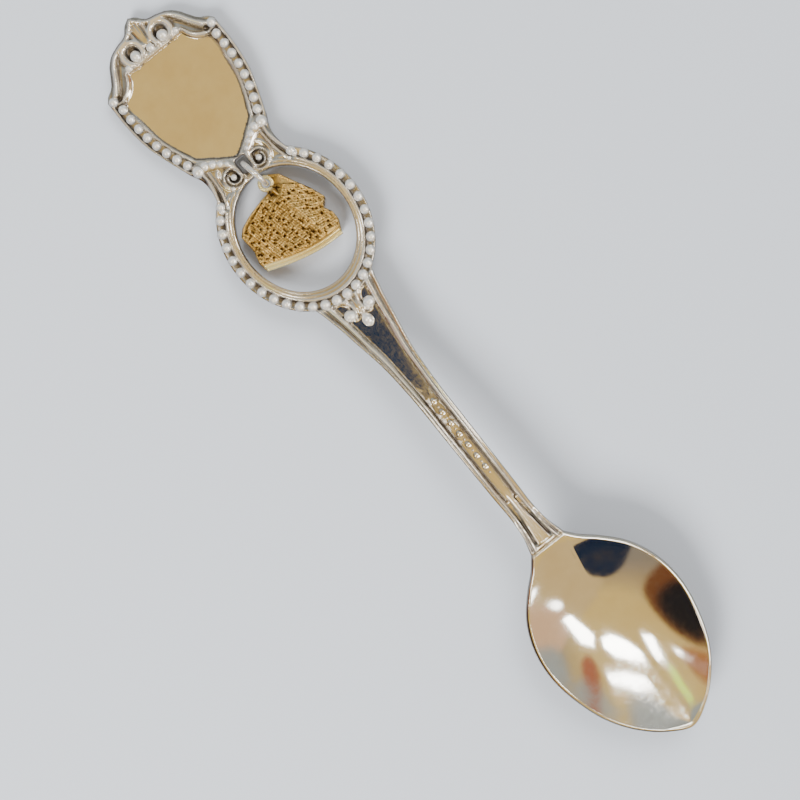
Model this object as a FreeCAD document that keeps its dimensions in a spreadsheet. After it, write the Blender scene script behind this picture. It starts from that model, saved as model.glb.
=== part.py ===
"""Souvenir spoon with a hanging charm, as a parametric FreeCAD document.

The spoon lies on its bowl and on the tip of its finial. +Z is up, +Y runs along the spoon towards the
finial, +X is to the right seen from above, and the origin is under the middle of the spoon, on the floor.
A place along the spoon is given as its station: the distance from the tip of the finial towards the bowl.
All lengths are in millimetres.

Pieces: handle (crest, plaque, ring and stem, cast in one), bowl (pressed, soldered on at the neck),
jump_ring (a closed wire ring through the handle) and charm (cast with its own eye).
"""
import FreeCAD
import Part

import math
import os

from FreeCAD import Placement, Rotation, Vector

# alias, value, what it is
DIMENSIONS = [
    ("spoon_length", 114.0, "finial tip to bowl tip"),
    ("neck_station", 83.6, "the solder seam between handle and bowl"),
    ("tip_height", 0.85, "middle of the plate above the floor at the finial"),
    ("crest_slope", 0.045, "rise of the flat crest per millimetre"),
    ("bend_station", 22.0, "waist under the crest, where the handle starts to arch up"),
    ("turn_station", 58.0, "where the arch turns over"),
    ("level_station", 80.0, "where the stem is level again"),
    ("arch_radius", 340.0, "radius of the lower arch"),
    ("plate_thickness", 1.7, "handle plate"),
    ("plaque_depth", 0.5, "recess of the polished plaque"),
    ("channel_depth", 0.6, "recess between the stem's two rims"),
    ("channel_halfwidth", 1.05, "half of the channel between the rims"),
    ("ring_station", 33.6, "middle of the oval ring"),
    ("opening_halfwidth", 7.2, "oval opening, across"),
    ("opening_halflength", 8.3, "oval opening, along"),
    ("ring_wall", 2.2, "oval ring across its band, at the sides"),
    ("ring_bead_row", 1.6, "from the opening's edge to the row of beads, at the sides"),
    ("ring_bead_radius", 0.66, "beads of the oval ring"),
    ("ring_bead_count", 36.0, "places for beads round the whole oval"),
    ("ring_beads_missing", 7.0, "places left empty where the scrolls are"),
    ("plaque_bead_radius", 0.62, "beads beside the plaque"),
    ("plaque_bead_count", 8.0, "beads on each side of the plaque"),
    ("scroll_station", 23.7, "the two scrolls over the ring"),
    ("scroll_offset", 1.97, "each scroll's middle from the centre line"),
    ("scroll_radius", 0.92, "middle of the scroll's roll"),
    ("scroll_roll", 0.33, "half the thickness of the roll"),
    ("slot_halfwidth", 0.7, "slot for the jump ring, across"),
    ("slot_start", 22.2, "slot for the jump ring, end nearer the finial"),
    ("slot_end", 24.3, "slot for the jump ring, end at the bridge"),
    ("link_radius", 1.92, "jump ring, middle of its wire"),
    ("link_wire_radius", 0.35, "jump ring's wire"),
    ("link_station", 25.0, "middle of the jump ring"),
    ("link_offset", 0.3, "middle of the jump ring from the centre line"),
    ("link_height", 2.35, "middle of the jump ring above the floor"),
    ("link_turn", 10.0, "degrees the jump ring is turned from the spoon's length"),
    ("eye_radius", 0.82, "charm's eye, middle of its band"),
    ("eye_band_radius", 0.27, "half the thickness of the eye's band"),
    ("charm_floor", 0.25, "underside of the charm above the floor"),
    ("charm_thickness", 2.5, "charm at its outer edges"),
    ("charm_ridge", 1.3, "extra height of the charm along its corner"),
    ("charm_ledge", 1.1, "width of the charm's base ledge"),
]

# Outlines of the right-hand half, as (distance from the centre line, station).
CREST_TOP = [
    (0.0, 0.0), (0.85, 0.5), (1.75, 1.45), (3.2, 1.85), (4.5, 2.35),
    (5.5, 3.2), (6.3, 4.4), (7.1, 5.5), (8.1, 6.1), (8.6, 6.7),
]
SHIELD_SIDE = [(8.6, 6.7), (8.58, 11.0), (8.2, 14.0), (7.2, 17.2), (6.2, 20.0)]
SHIELD_WAIST = [(6.2, 20.0), (5.45, 21.6), (5.3, 23.2), (5.7, 25.2), (6.6, 27.0)]
PLAQUE_CORNER = [(4.8, 5.5), (5.3, 6.7), (6.6, 7.7)]
PLAQUE_SIDE = [(6.6, 7.7), (6.6, 12.0), (6.2, 14.5), (5.3, 17.0), (4.3, 19.0)]
PLAQUE_POINT_STATION = 21.6
PLAQUE_BEADS = [(7.55, 8.5), (7.55, 11.3), (7.2, 14.2), (6.45, 16.9), (5.5, 19.4)]
STEM_SIDE = [
    (6.2, 41.0), (4.7, 42.8), (3.75, 46.0), (3.0, 50.0), (2.35, 53.6), (1.95, 58.5),
    (1.83, 66.0), (1.74, 75.0), (1.68, 79.0), (1.9, 81.4), (2.5, 83.6),
]
CHANNEL_STATIONS = (50.5, 79.0)

# Bowl sections: station, half width, height of the rim, of the underside and of the inside.
BOWL_SECTIONS = [
    (83.6, 2.50, 7.70, 6.15, 7.40),
    (85.0, 3.60, 7.50, 5.20, 6.60),
    (87.0, 5.70, 7.15, 3.20, 4.50),
    (90.0, 8.20, 6.75, 1.25, 2.30),
    (93.6, 9.75, 6.40, 0.28, 1.15),
    (98.0, 10.30, 6.15, 0.00, 0.80),
    (102.4, 9.65, 5.95, 0.36, 1.15),
    (106.6, 8.20, 5.85, 1.30, 2.15),
    (110.2, 5.75, 5.80, 2.75, 3.60),
    (112.6, 3.05, 5.80, 4.25, 4.95),
    (114.0, 0.90, 5.80, 5.30, 5.60),
]

# Charm outline and its corner line, as (distance to the right, station).
CHARM_OUTLINE = [
    (-0.1, 28.0), (-3.6, 28.8), (-5.2, 29.4), (-6.0, 30.2), (-5.9, 32.6), (-6.3, 34.2),
    (-6.2, 35.2), (-2.6, 36.4), (0.1, 37.0), (1.9, 37.3), (4.3, 37.4), (5.0, 35.9),
    (5.0, 34.8), (4.4, 33.7), (5.4, 32.7), (4.7, 30.8), (3.5, 28.6), (2.7, 27.0), (1.5, 26.1),
]
CHARM_CORNER = [(0.7, 28.0), (2.5, 35.9)]
CHARM_LEDGE = [(-6.3, 34.6), (-2.6, 35.9), (1.0, 36.7), (4.6, 36.9)]

CLEAR_HEIGHT = "dimensions.spoon_length / 4"  # the height of a prism that clears the whole spoon

document = FreeCAD.newDocument("souvenir_spoon")
sheet = document.addObject("Spreadsheet::Sheet", "dimensions")
for row, (alias, number, meaning) in enumerate(DIMENSIONS, start=1):
    sheet.set(f"A{row}", alias)
    sheet.set(f"B{row}", str(number))
    sheet.set(f"C{row}", meaning)
    sheet.setAlias(f"B{row}", alias)
document.recompute()


def size(alias):
    """A driving dimension, read from the sheet."""
    return float(sheet.get(alias))


def along(station):
    """The Y of a station."""
    return size("spoon_length") / 2 - station


def middle_height(station):
    """Height of the middle of the handle plate: straight, arched up, arched over, then level."""
    bend, turn, level = (size(a) for a in ("bend_station", "turn_station", "level_station"))
    slope = size("crest_slope")
    height = size("tip_height") + slope * min(station, bend)
    if station > bend:
        run = min(station, turn) - bend
        height += slope * run + run * run / (2 * size("arch_radius"))
    if station > turn:
        steepest = slope + (turn - bend) / size("arch_radius")
        left = max(level - station, 0.0)
        height += steepest * (level - turn) / 2 * (1 - (left / (level - turn)) ** 2)
    return height


def bind(item, **formulas):
    """Drives an object's properties from the sheet."""
    for name, formula in formulas.items():
        item.setExpression(name, formula)
    return item


def spline(points):
    """A smooth curve through points."""
    curve = Part.BSplineCurve()
    curve.interpolate([Vector(*p) for p in points])
    return curve


def line(start, end):
    return Part.LineSegment(Vector(*start), Vector(*end))


def plan(points):
    """Outline points (right, station) as points on the XY plane."""
    return [(x, along(station), 0) for x, station in points]


def mirrored(points):
    return [(-x, station) for x, station in reversed(points)]


def prism(name, curves, formula):
    """An upright prism over a closed plan outline, standing on the floor."""
    sketch = document.addObject("Sketcher::SketchObject", name + "_outline")
    sketch.addGeometry(curves)
    solid = document.addObject("Part::Extrusion", name)
    solid.Base = sketch
    solid.DirMode = "Custom"
    solid.Dir = Vector(0, 0, 1)
    solid.Solid = True
    return bind(solid, LengthFwd=formula)


def combined(kind, name, shapes):
    """A Part::MultiFuse or Part::MultiCommon of several shapes."""
    result = document.addObject(kind, name)
    result.Shapes = shapes
    return result


def cut(name, base, tool):
    result = document.addObject("Part::Cut", name)
    result.Base = base
    result.Tool = tool
    return result


def ball(name, radius_formula, x, station, height):
    """A bead, centred at a height above the floor."""
    bead = document.addObject("Part::Sphere", name)
    bead.Placement = Placement(Vector(x, along(station), height), Rotation())
    return bind(bead, Radius=radius_formula)


def oval_prism(name, width_formula, length_formula, height_formula):
    """An upright prism over the ring's oval."""
    oval = document.addObject("Part::Ellipse", name + "_outline")
    oval.Placement = Placement(Vector(0, along(size("ring_station")), 0), Rotation(Vector(0, 0, 1), 90))
    bind(oval, MajorRadius=length_formula, MinorRadius=width_formula)
    solid = document.addObject("Part::Extrusion", name)
    solid.Base = oval
    solid.DirMode = "Custom"
    solid.Dir = Vector(0, 0, 1)
    solid.Solid = True
    return bind(solid, LengthFwd=height_formula)


def side_slab(name, below, above):
    """A slab as wide as the spoon that follows the side view, from below to above the plate's middle."""
    half_width = size("spoon_length") / 4
    stations = [0.0, size("bend_station"), size("turn_station"), size("level_station"), size("neck_station")]

    def at(station, offset):
        return Vector(-half_width, along(station), middle_height(station) + offset)

    def run(offset, places):
        """The straight and arched edges of one face, seen from the side."""
        edges = []
        for start, end in zip(places, places[1:]):
            if {start, end} & {0.0, size("neck_station")}:
                curve = Part.LineSegment(at(start, offset), at(end, offset))
            else:
                curve = Part.Arc(at(start, offset), at((start + end) / 2, offset), at(end, offset))
            edges.append(curve.toShape())
        return edges

    edges = run(below, stations)
    edges.append(Part.LineSegment(at(stations[-1], below), at(stations[-1], above)).toShape())
    edges += run(above, stations[::-1])
    edges.append(Part.LineSegment(at(0.0, above), at(0.0, below)).toShape())
    slab = document.addObject("Part::Feature", name)
    slab.Shape = Part.Face(Part.Wire(Part.__sortEdges__(edges))).extrude(Vector(2 * half_width, 0, 0))
    return slab


def symmetric_outline(*stretches):
    """Closed plan outline from right-hand stretches, first to last, and their mirror images."""
    both = list(stretches) + [mirrored(points) for points in reversed(stretches)]
    return [spline(plan(points)) if len(points) > 2 else line(*plan(points)) for points in both]


def evenly_along(points, count):
    """Places spread evenly along a smooth curve through points."""
    curve = spline([(x, station, 0) for x, station in points]).toShape()
    return [(p.x, p.y) for p in curve.discretize(Number=count)]


def make_handle():
    """The cast handle: crest, plaque, scrolls, oval ring, trefoil and rimmed stem."""
    half = size("plate_thickness") / 2
    slab = side_slab("plate_slab", -half, half)
    closing = [SHIELD_WAIST[-1], (0.0, SHIELD_WAIST[-1][1])]
    crest = prism("crest", symmetric_outline(CREST_TOP, SHIELD_SIDE, SHIELD_WAIST, closing), CLEAR_HEIGHT)
    top, bottom = [(0.0, STEM_SIDE[0][1]), STEM_SIDE[0]], [STEM_SIDE[-1], (0.0, STEM_SIDE[-1][1])]
    stem = prism("stem", symmetric_outline(top, STEM_SIDE, bottom), CLEAR_HEIGHT)
    wall = "dimensions.ring_wall"
    oval = oval_prism(
        "ring_outside",
        f"dimensions.opening_halfwidth + {wall}",
        f"dimensions.opening_halflength + 1.2 * {wall}",
        CLEAR_HEIGHT,
    )
    opening = oval_prism("ring_opening", "dimensions.opening_halfwidth", "dimensions.opening_halflength", CLEAR_HEIGHT)
    outline = combined("Part::MultiFuse", "handle_outline", [crest, stem, oval])
    plate = combined("Part::MultiCommon", "handle_plate", [outline, slab])

    plaque = prism(
        "plaque",
        symmetric_outline(
            [(0.0, PLAQUE_CORNER[0][1]), PLAQUE_CORNER[0]],
            PLAQUE_CORNER,
            PLAQUE_SIDE,
            [PLAQUE_SIDE[-1], (0.0, PLAQUE_POINT_STATION)],
        ),
        CLEAR_HEIGHT,
    )
    plaque_space = combined(
        "Part::MultiCommon", "plaque_space", [plaque, side_slab("plaque_slab", half - size("plaque_depth"), 4 * half)]
    )
    channel = document.addObject("Part::Box", "channel")
    channel.Placement = Placement(
        Vector(-size("channel_halfwidth"), along(CHANNEL_STATIONS[1]), 0), Rotation()
    )
    bind(channel, Width=f"{CHANNEL_STATIONS[1] - CHANNEL_STATIONS[0]}", Height=CLEAR_HEIGHT)
    bind(channel, Length="2 * dimensions.channel_halfwidth")
    channel_space = combined(
        "Part::MultiCommon",
        "channel_space",
        [channel, side_slab("channel_slab", half - size("channel_depth"), 4 * half)],
    )
    slot = document.addObject("Part::Box", "link_slot")
    slot.Placement = Placement(Vector(-size("slot_halfwidth"), along(size("slot_end")), 0), Rotation())
    bind(
        slot,
        Length="2 * dimensions.slot_halfwidth",
        Width="dimensions.slot_end - dimensions.slot_start",
        Height=CLEAR_HEIGHT,
    )

    raised = []
    for number, (x, station) in enumerate(evenly_along(PLAQUE_BEADS, int(size("plaque_bead_count")))):
        for side in (-1, 1):
            name = f"plaque_bead_{number}_{side + 1}"
            raised.append(ball(name, "dimensions.plaque_bead_radius", side * x, station,
                               middle_height(station) + half))
    count, missing = int(size("ring_bead_count")), int(size("ring_beads_missing"))
    row_x = size("opening_halfwidth") + size("ring_bead_row")
    row_y = size("opening_halflength") + size("ring_bead_row") * 1.3
    for number in range((missing + 1) // 2, count - missing // 2):
        angle = 2 * math.pi * number / count
        x, station = row_x * math.sin(angle), size("ring_station") - row_y * math.cos(angle)
        raised.append(ball(f"ring_bead_{number}", "dimensions.ring_bead_radius", x, station,
                           middle_height(station) + half))
    for side in (-1, 1):
        station = size("scroll_station")
        centre = Vector(side * size("scroll_offset"), along(station), middle_height(station) + half)
        roll = document.addObject("Part::Torus", f"scroll_{side + 1}")
        roll.Placement = Placement(centre, Rotation())
        bind(roll, Radius1="dimensions.scroll_radius", Radius2="dimensions.scroll_roll")
        raised.append(roll)
        raised.append(ball(f"scroll_eye_{side + 1}", "0.8 * dimensions.ring_bead_radius",
                           centre.x, station, centre.z))
        raised.append(ball(f"trefoil_bead_{side + 1}", "1.25 * dimensions.ring_bead_radius",
                           side * 1.45, 46.3, middle_height(46.3) + half * 0.9))
    raised.append(ball("trefoil_drop", "1.3 * dimensions.ring_bead_radius", 0.0, 47.9,
                       middle_height(47.9) + half * 0.8))

    spaces = combined("Part::MultiFuse", "handle_spaces", [plaque_space, channel_space, slot, opening])
    relief = combined("Part::MultiFuse", "handle_relief", [plate] + raised)
    return cut("handle", relief, spaces)


def make_bowl():
    """The pressed bowl: a thin shell lofted through crescent sections from the neck to the tip."""
    body = document.addObject("PartDesign::Body", "bowl_body")
    across = next(f for f in body.Origin.OriginFeatures if f.Role == "XZ_Plane")
    sketches = []
    for number, (station, width, rim, underside, inside) in enumerate(BOWL_SECTIONS):
        section = body.newObject("Sketcher::SketchObject", f"bowl_section_{number}")
        section.AttachmentSupport = [(across, "")]
        section.MapMode = "FlatFace"
        section.AttachmentOffset = Placement(Vector(0, 0, -along(station)), Rotation())
        lip = width - min(0.75, width * 0.3)
        outer = Part.Arc(Vector(-width, rim, 0), Vector(0, underside, 0), Vector(width, rim, 0))
        inner = Part.Arc(Vector(-lip, rim, 0), Vector(0, inside, 0), Vector(lip, rim, 0))
        section.addGeometry([outer, line((width, rim, 0), (lip, rim, 0)), inner,
                             line((-lip, rim, 0), (-width, rim, 0))])
        sketches.append(section)
    loft = body.newObject("PartDesign::AdditiveLoft", "bowl_shell")
    loft.Profile = sketches[0]
    loft.Sections = [(sketch, [""]) for sketch in sketches[1:]]
    return body


def make_jump_ring():
    """A closed wire ring, upright, turned a little from the spoon's length."""
    ring = document.addObject("Part::Torus", "jump_ring_wire")
    upright = Rotation(Vector(0, 1, 0), 90)
    turned = Rotation(Vector(0, 0, 1), size("link_turn"))
    centre = Vector(size("link_offset"), along(size("link_station")), size("link_height"))
    ring.Placement = Placement(centre, turned.multiply(upright))
    return bind(ring, Radius1="dimensions.link_radius", Radius2="dimensions.link_wire_radius")


def eye_centre():
    """Where the jump ring's wire passes through the charm's eye."""
    turn = math.radians(size("link_turn"))
    reach = size("link_radius") - 0.04
    x = size("link_offset") + reach * math.sin(turn)
    station = size("link_station") + reach * math.cos(turn)
    return Vector(x, along(station), size("link_height"))


def make_charm():
    """The cast charm: a little corner building with a base ledge, hung by the eye on its roof."""
    floor, thickness, ridge = (size(a) for a in ("charm_floor", "charm_thickness", "charm_ridge"))
    outline = plan(CHARM_OUTLINE)
    walls = prism("charm_walls", [line(a, b) for a, b in zip(outline, outline[1:] + outline[:1])], CLEAR_HEIGHT)
    (x0, station0), (x1, station1) = CHARM_CORNER
    start, end = Vector(x0, along(station0), 0), Vector(x1, along(station1), 0)
    lengthwise = (end - start).normalize()
    sideways = Vector(-lengthwise.y, lengthwise.x, 0)
    reach = 12.0
    top = floor + thickness

    def corner_section(at):
        """The two faces falling away from the corner, as a closed wire across it."""
        points = [
            at + sideways * reach + Vector(0, 0, floor),
            at + sideways * reach + Vector(0, 0, top - ridge),
            at + Vector(0, 0, top + ridge),
            at - sideways * reach + Vector(0, 0, top - ridge),
            at - sideways * reach + Vector(0, 0, floor),
        ]
        return Part.makePolygon(points + points[:1])

    wedge = document.addObject("Part::Feature", "charm_faces")
    wedge.Shape = Part.makeLoft(
        [corner_section(start - lengthwise * reach), corner_section(end + lengthwise * reach)], True, True
    )
    building = combined("Part::MultiCommon", "charm_building", [walls, wedge])

    ledge_line = plan(CHARM_LEDGE)
    inner = [Vector(*p) for p in ledge_line]
    outer = [p + Vector(-0.25, -size("charm_ledge"), 0) for p in inner]
    ring = [(p.x, p.y, 0) for p in inner + outer[::-1]]
    ledge = prism("charm_ledge", [line(a, b) for a, b in zip(ring, ring[1:] + ring[:1])],
                  "dimensions.charm_thickness + dimensions.charm_ridge * 0.4")
    ledge.Placement = Placement(Vector(0, 0, floor), Rotation())

    eye = document.addObject("Part::Torus", "charm_eye")
    centre = eye_centre()
    eye.Placement = Placement(centre, Rotation())
    bind(eye, Radius1="dimensions.eye_radius", Radius2="dimensions.eye_band_radius")
    root = document.addObject("Part::Cylinder", "charm_eye_root")
    root.Placement = Placement(
        centre + Vector(0.1, -size("eye_radius"), -size("eye_band_radius")), Rotation(Vector(1, 0, 0), 90)
    )
    bind(root, Radius="1.4 * dimensions.eye_band_radius", Height="dimensions.eye_radius")
    solid = combined("Part::MultiFuse", "charm_solid", [building, ledge, root])
    hole = document.addObject("Part::Cylinder", "charm_eye_hole")
    hole.Placement = Placement(centre - Vector(0, 0, 5), Rotation())
    bind(hole, Radius="dimensions.eye_radius", Height="10")
    return combined("Part::MultiFuse", "charm", [cut("charm_trimmed", solid, hole), eye])


makers = {
    "handle": make_handle,
    "bowl": make_bowl,
    "jump_ring": make_jump_ring,
    "charm": make_charm,
}
pieces = {}
for label, maker in makers.items():
    pieces[label] = maker()
document.recompute()

for item in document.Objects:
    if {"Invalid", "Error"} & set(item.State):
        raise RuntimeError(f"{item.Name} did not build: {item.State}")
os.makedirs("parts", exist_ok=True)
for label, piece in pieces.items():
    piece.Label = label
    shape = piece.Shape
    if shape.isNull() or not shape.isValid():
        raise RuntimeError(f"{label} is not a valid shape")
    box = shape.BoundBox
    print(f"{label}: {len(shape.Solids)} solid, {shape.Volume:.1f} mm3, "
          f"x {box.XMin:.2f} {box.XMax:.2f}, y {box.YMin:.2f} {box.YMax:.2f}, z {box.ZMin:.2f} {box.ZMax:.2f}")
    shape.exportStep(f"parts/{label}.step")
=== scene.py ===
"""The looks of the souvenir spoon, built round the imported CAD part.

Plan positions are (x, station) in millimetres: station runs from the finial (0) to the bowl's
tip, so y is half the spoon's length less the station. Heights are in millimetres over the floor.
"""

import math
import random

import bpy
import numpy as np
from mathutils import Matrix, Vector


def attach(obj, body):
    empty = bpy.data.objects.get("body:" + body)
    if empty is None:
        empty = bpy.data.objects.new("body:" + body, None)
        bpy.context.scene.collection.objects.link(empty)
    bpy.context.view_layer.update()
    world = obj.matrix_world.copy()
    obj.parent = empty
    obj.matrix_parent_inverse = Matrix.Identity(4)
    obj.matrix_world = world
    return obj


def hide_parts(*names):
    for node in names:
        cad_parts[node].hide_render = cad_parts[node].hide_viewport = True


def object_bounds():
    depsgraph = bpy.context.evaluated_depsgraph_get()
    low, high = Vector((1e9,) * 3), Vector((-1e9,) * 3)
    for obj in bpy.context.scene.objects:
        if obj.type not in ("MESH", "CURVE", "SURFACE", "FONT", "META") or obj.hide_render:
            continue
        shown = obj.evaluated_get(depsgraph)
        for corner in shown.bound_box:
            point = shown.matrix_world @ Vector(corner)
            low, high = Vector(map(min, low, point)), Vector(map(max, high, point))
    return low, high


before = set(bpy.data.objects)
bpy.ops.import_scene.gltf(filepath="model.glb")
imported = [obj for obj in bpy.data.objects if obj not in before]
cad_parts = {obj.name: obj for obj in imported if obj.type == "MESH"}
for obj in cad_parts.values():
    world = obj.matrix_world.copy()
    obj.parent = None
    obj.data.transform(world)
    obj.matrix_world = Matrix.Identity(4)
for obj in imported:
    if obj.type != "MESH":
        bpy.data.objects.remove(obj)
cad_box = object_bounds()

MM = 0.001
half_length = (cad_box[1].y - cad_box[0].y) / 2 / MM
chance = random.Random(11)

# ---------------------------------------------------------------- driving sizes, as in the CAD
plate_thickness = 1.7
tip_height = 0.85
crest_slope = 0.045
bend_station, turn_station, level_station = 22.0, 58.0, 80.0
arch_radius = 340.0
neck_station = 83.6
ring_station = 33.6
opening_size = (7.2, 8.3)
ring_size = (9.4, 10.94)
bead_row_size = (8.8, 10.38)
ring_bead_count, ring_bead_numbers, ring_bead_radius = 36, range(4, 33), 0.66
plaque_bead_count, plaque_bead_radius = 8, 0.62
plaque_depth = 0.5
channel_depth = 0.6
slot_half_width, slot_start, slot_end, slot_corner = 0.7, 22.2, 24.3, 0.35
edge_round = 0.26

OUTLINE_STRETCHES = [
    [(0, 0), (0.85, 0.5), (1.75, 1.45), (3.2, 1.85), (4.5, 2.35), (5.5, 3.2), (6.3, 4.4),
     (7.1, 5.5), (8.1, 6.1), (8.6, 6.7)],
    [(8.6, 6.7), (8.58, 11), (8.2, 14), (7.2, 17.2), (6.2, 20)],
    [(6.2, 20), (5.45, 21.6), (5.3, 23.2), (5.7, 25.2), (6.6, 27)],
]
STEM_SIDE = [(6.2, 41), (4.7, 42.8), (3.75, 46), (3, 50), (2.35, 53.6), (1.95, 58.5), (1.83, 66),
             (1.74, 75), (1.68, 79), (1.9, 81.4), (2.5, 83.6)]
PLAQUE_TOP = [(0, 5.3), (0.45, 5.2), (0.9, 4.95), (1.4, 5.15), (2.1, 5.42), (2.8, 5.15), (3.25, 4.98),
              (3.7, 5.35), (4.15, 5.2), (4.8, 5.5)]
PLAQUE_SIDE = [(6.65, 7.7), (6.72, 12), (6.34, 14.5), (5.45, 17), (4.45, 19.1)]
PLAQUE_CORNER = [(4.8, 5.5), (5.35, 6.75), (6.65, 7.7)]
PLAQUE_FOOT = [(4.45, 19.1), (3.0, 20.2), (1.9, 20.98), (0.9, 21.65), (0, 22.15)]
VOLUTE = (2.24, 3.9)
PLAQUE_BEADS = [(7.55, 8.5), (7.55, 11.3), (7.2, 14.2), (6.45, 16.9), (5.62, 19.0)]
BOWL_SIDE = [(2.5, 83.6), (3.6, 85), (5.7, 87), (8.2, 90), (9.75, 93.6), (10.3, 98),
             (9.65, 102.4), (8.2, 106.6), (5.75, 110.2), (3.05, 112.6), (0, 114)]


def middle_height(station):
    """Height of the handle plate's middle over the floor."""
    crest_run = np.minimum(station, bend_station)
    arch_run = np.clip(station, bend_station, turn_station) - bend_station
    height = tip_height + crest_slope * (crest_run + arch_run) + arch_run**2 / (2 * arch_radius)
    steep = crest_slope + (turn_station - bend_station) / arch_radius
    run = level_station - turn_station
    left = np.clip(level_station - station, 0, run)
    return height + np.where(station > turn_station, steep * run / 2 * (1 - (left / run) ** 2), 0)


def plate_top(station):
    """Height of the handle plate's upper face over the floor."""
    return middle_height(station) + plate_thickness / 2


# ---------------------------------------------------------------- lines and surfaces in the plan
def smooth_line(points, step=0.12):
    """Points about every step along a smooth curve through the given ones."""
    given = np.array(points, float)
    chord = np.r_[0, np.cumsum(np.linalg.norm(np.diff(given, axis=0), axis=1))]
    places = np.linspace(0, chord[-1], max(3, int(chord[-1] / step) + 1))
    if len(given) == 2:
        return np.stack([np.interp(places, chord, column) for column in given.T], axis=1)
    slope = np.gradient(given, chord, axis=0)
    k = np.clip(np.searchsorted(chord, places, side="right") - 1, 0, len(chord) - 2)
    span = (chord[k + 1] - chord[k])[:, None]
    u = (places - chord[k])[:, None] / span
    start, end = given[k], given[k + 1]
    return (
        start * (2 * u**3 - 3 * u**2 + 1)
        + end * (3 * u**2 - 2 * u**3)
        + span * slope[k] * (u**3 - 2 * u**2 + u)
        + span * slope[k + 1] * (u**3 - u**2)
    )


def even_points(line, count, endpoint=True):
    """That many points, evenly spaced along a line. Its last point is left out without endpoint."""
    run = np.r_[0, np.cumsum(np.linalg.norm(np.diff(line, axis=0), axis=1))]
    places = np.linspace(0, run[-1], count, endpoint=endpoint)
    return np.stack([np.interp(places, run, column) for column in line.T], axis=1)


def smooth_step(value, start, end):
    """0 before start, 1 after end, and smooth between them."""
    u = np.clip((value - start) / (end - start), 0, 1)
    return u * u * (3 - 2 * u)


def smooth_max(a, b, soft):
    """The higher of two surfaces, with the corner between them rounded."""
    return np.maximum(a, b) + np.maximum(soft - abs(a - b), 0) ** 2 / (4 * soft)


def oval_distance(x, station, size):
    """Distance outside an oval centred on the ring (negative inside), good close to its line."""
    along = station - ring_station
    k = np.hypot(x / size[0], along / size[1]) + 1e-9
    return (k - 1) * k / (np.hypot(x / size[0] ** 2, along / size[1] ** 2) + 1e-9)


# ---------------------------------------------------------------- meshes
def add_mesh(name, places, faces):
    """An object in the scene from points in metres."""
    mesh = bpy.data.meshes.new(name)
    mesh.from_pydata(places, [], faces)
    mesh.validate()
    made = bpy.data.objects.new(name, mesh)
    bpy.context.scene.collection.objects.link(made)
    return made


def new_object(name, plan_points, faces):
    """A smooth-shaded mesh from (x, station, height) points in millimetres."""
    places = np.array(plan_points, float)
    places[:, 1] = half_length - places[:, 1]
    made = add_mesh(name, (places * MM).tolist(), faces)
    made.data.shade_smooth()
    return made


def band_faces(first, around, bands):
    """Quads between neighbouring rings of around points each, from the point numbered first."""
    faces = []
    for n in range(bands):
        a = first + n * around
        for m in range(around):
            after = (m + 1) % around
            faces.append([a + m, a + after, a + around + after, a + around + m])
    return faces


def set_attribute(made, name, values):
    """A number at each of the object's points, for its material to read."""
    layer = made.data.attributes.new(name, "FLOAT", "POINT")
    layer.data.foreach_set("value", np.asarray(values, np.float32))


def plan_places(made):
    """The x, station and height of each of the object's points, in millimetres."""
    co = np.zeros(len(made.data.vertices) * 3)
    made.data.vertices.foreach_get("co", co)
    x, y, z = co.reshape(-1, 3).T / MM
    return x, half_length - y, z


# ---------------------------------------------------------------- relief on a grid
class Relief:
    """A height over each node of a grid in the plan, worked like a die sinker works a stamp."""

    def __init__(self, xs, stations):
        self.xs, self.stations = xs, stations
        self.x, self.s = np.meshgrid(xs, stations, indexing="ij")
        self.z = np.zeros_like(self.x)
        # extra darkening for the handle's recess map: painted shade in the hollows, the bead channels,
        # the ring's troughs and round the slot
        self.patina_and_shade = np.zeros_like(self.x)

    def near(self, path, reach):
        """Each node's distance to a line, up to reach, and how far along it that is (0 to 1)."""
        distance = np.full(self.x.shape, float(reach))
        along = np.zeros(self.x.shape)
        for n, (a, b) in enumerate(zip(path[:-1], path[1:])):
            low, high = np.minimum(a, b) - reach, np.maximum(a, b) + reach
            i = slice(*np.searchsorted(self.xs, (low[0], high[0])))
            j = slice(*np.searchsorted(self.stations, (low[1], high[1])))
            x, s = self.x[i, j] - a[0], self.s[i, j] - a[1]
            t = np.clip((x * (b - a)[0] + s * (b - a)[1]) / max(np.dot(b - a, b - a), 1e-9), 0, 1)
            away = np.hypot(x - t * (b - a)[0], s - t * (b - a)[1])
            closer = away < distance[i, j]
            distance[i, j][closer] = away[closer]
            along[i, j][closer] = (n + t[closer]) / (len(path) - 1)
        return distance, along

    def ridge(self, points, half_width, rise, foot=0.0, soft=0.06):
        """A rounded ridge along a smooth line. half_width and rise may be (start, end)."""
        widths = np.broadcast_to(half_width, 2)
        reach = 1.6 * max(widths) + 0.1
        distance, along = self.near(smooth_line(points), reach)
        width = np.interp(along, (0, 1), widths)
        top = np.interp(along, (0, 1), np.broadcast_to(rise, 2))
        raised = smooth_max(self.z, foot + top * (1 - (distance / width) ** 2), soft)
        self.z = np.where(distance < reach, raised, self.z)

    def groove(self, points, half_width, depth):
        """A rounded groove cut along a smooth line."""
        widths = np.broadcast_to(half_width, 2)
        distance, along = self.near(smooth_line(points), max(widths))
        width = np.interp(along, (0, 1), widths)
        self.z -= depth * np.clip(1 - (distance / width) ** 2, 0, 1) ** 1.3

    def hollow_round(self, centre, radius, depth):
        """A shallow round hollow."""
        away = np.hypot(self.x - centre[0], self.s - centre[1])
        self.z -= depth * np.clip(1 - (away / radius) ** 2, 0, 1)

    def mirrored(self):
        """The grid's x values and a way to carry its arrays to both sides of the middle."""
        both = np.r_[-self.xs[:0:-1], self.xs]
        return both, lambda values: np.concatenate([values[:0:-1], values])


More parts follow.
